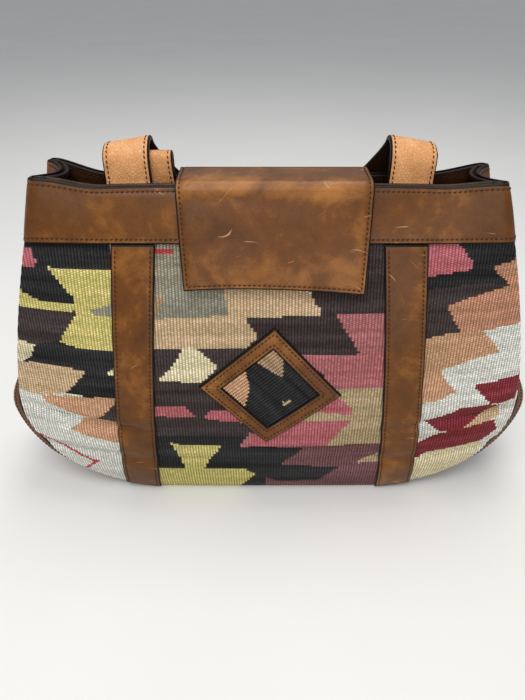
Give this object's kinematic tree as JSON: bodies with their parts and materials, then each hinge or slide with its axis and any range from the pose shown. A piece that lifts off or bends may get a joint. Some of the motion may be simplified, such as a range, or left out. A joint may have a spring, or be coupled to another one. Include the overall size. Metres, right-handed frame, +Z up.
{
  "type": "kilim bag",
  "caption": "Soft shoulder bag of patterned kilim weave with tan leather straps, band and gusset, a fold-over snap flap and strap handles.",
  "frame": {"origin": "on the ground under the middle of the bag's base", "axes": "+X to the bag's right as its front is seen, -Y towards the viewer of the front, +Z up"},
  "size_m": [0.396, 0.1417, 0.2795],
  "materials": {
    "kilim": "weft-faced woven wool",
    "tan_leather": "oiled pull-up leather",
    "dark_leather": "flesh side, matt",
    "cotton": "plain-woven cotton",
    "nickel": "nickel plate"
  },
  "bodies": {
    "bag": {"front_panel": "kilim", "back_panel": "kilim", "gusset": "tan_leather", "top_band": "tan_leather", "inner_facing": "dark_leather", "lining": "cotton", "front_left_strap": "tan_leather", "front_right_strap": "tan_leather", "back_left_strap": "tan_leather", "back_right_strap": "tan_leather", "diamond_border": "tan_leather", "diamond_patch": "kilim", "flap_tab": "tan_leather", "snap_socket": "nickel", "front_handle_left_end": "tan_leather", "front_handle_right_end": "tan_leather", "back_handle": "tan_leather"},
    "flap": {"flap": "tan_leather", "snap_stud": "nickel"},
    "front_handle": {"front_handle_loop": "tan_leather"}
  },
  "joints": [
    {"name": "flap_hinge", "type": "hinge", "parent": "bag", "child": "flap", "pos_m": [0, 0.0153, 0.2575], "axis": [-1, 0, 0], "range_deg": [0, 150]},
    {"name": "front_handle_hinge", "type": "hinge", "parent": "bag", "child": "front_handle", "pos_m": [0, 0.00634, 0.266], "axis": [1, 0, 0], "range_deg": [0, 150], "deforming": ["front_handle_left_end", "front_handle_right_end"]}
  ]
}
